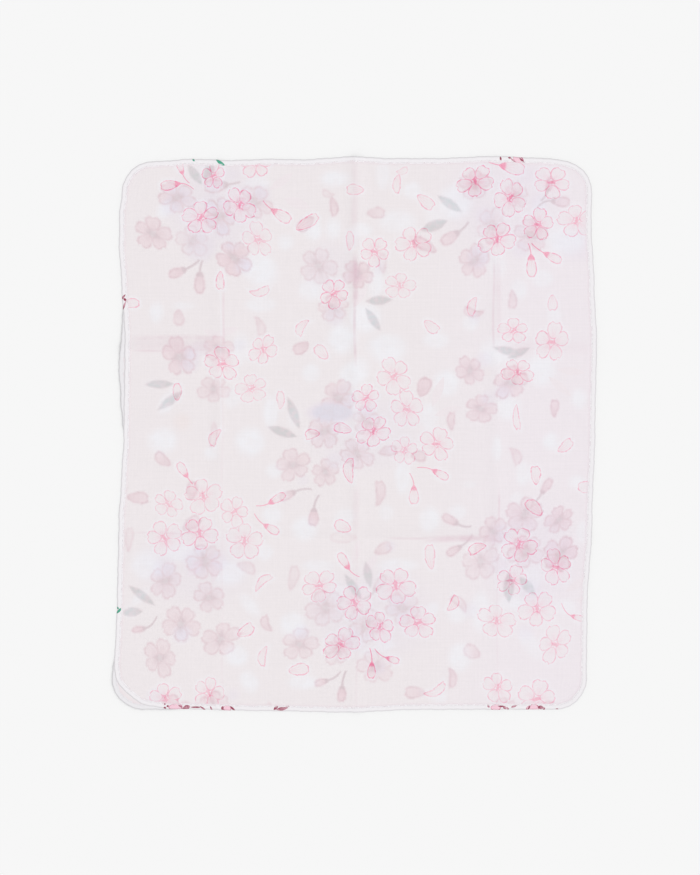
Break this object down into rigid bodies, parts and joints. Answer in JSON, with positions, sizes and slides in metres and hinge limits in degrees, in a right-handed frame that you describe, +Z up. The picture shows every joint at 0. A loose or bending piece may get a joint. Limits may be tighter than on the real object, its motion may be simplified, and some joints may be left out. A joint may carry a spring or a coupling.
{
  "type": "gauze handkerchief",
  "caption": "Thin double gauze handkerchief lying opened flat, with rounded corners, a narrow turned hem, soft packing creases and a cherry blossom print.",
  "frame": {"origin": "middle of the handkerchief's underside, on the surface it lies on", "axes": "+Y along the long side towards the top edge, +X towards the right edge, +Z up, away from the surface"},
  "size_m": [0.3064, 0.3514, 0.0042],
  "materials": {
    "front_gauze": "sheer pale pink cotton gauze, wrong side of the print",
    "back_gauze": "sheer pale pink cotton gauze, printed side"
  },
  "bodies": {
    "root": {"front_ply": "front_gauze", "back_ply": "back_gauze"}
  },
  "joints": []
}
